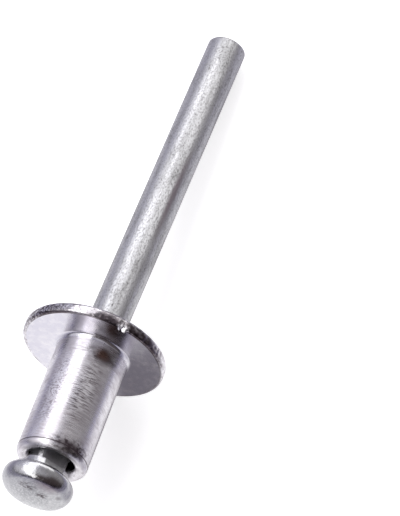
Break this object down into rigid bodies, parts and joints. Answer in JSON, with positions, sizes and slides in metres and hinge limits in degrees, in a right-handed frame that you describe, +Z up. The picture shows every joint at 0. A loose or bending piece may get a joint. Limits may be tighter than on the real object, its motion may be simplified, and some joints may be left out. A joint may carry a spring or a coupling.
{
  "type": "blind rivet",
  "caption": "Unset blind rivet: a hollow shank with a wide domed flange, round a long plain mandrel that has a pinched break notch and a round head.",
  "frame": {"origin": "centre of the bounding box on the surface the rivet lies on", "axes": "+Z up; the long axis lies along X and slopes down towards +X, where the mandrel's tail touches the surface; the mandrel's head is at -X"},
  "size_m": [0.0372, 0.0096, 0.0095],
  "materials": {
    "aluminium_body": "satin, with fine draw scratches round the shank and a polished face under the flange",
    "zinc_plated_steel": "bright zinc plate with a fine grain"
  },
  "bodies": {
    "root": {"rivet_body": "aluminium_body", "mandrel": "zinc_plated_steel"}
  },
  "joints": []
}
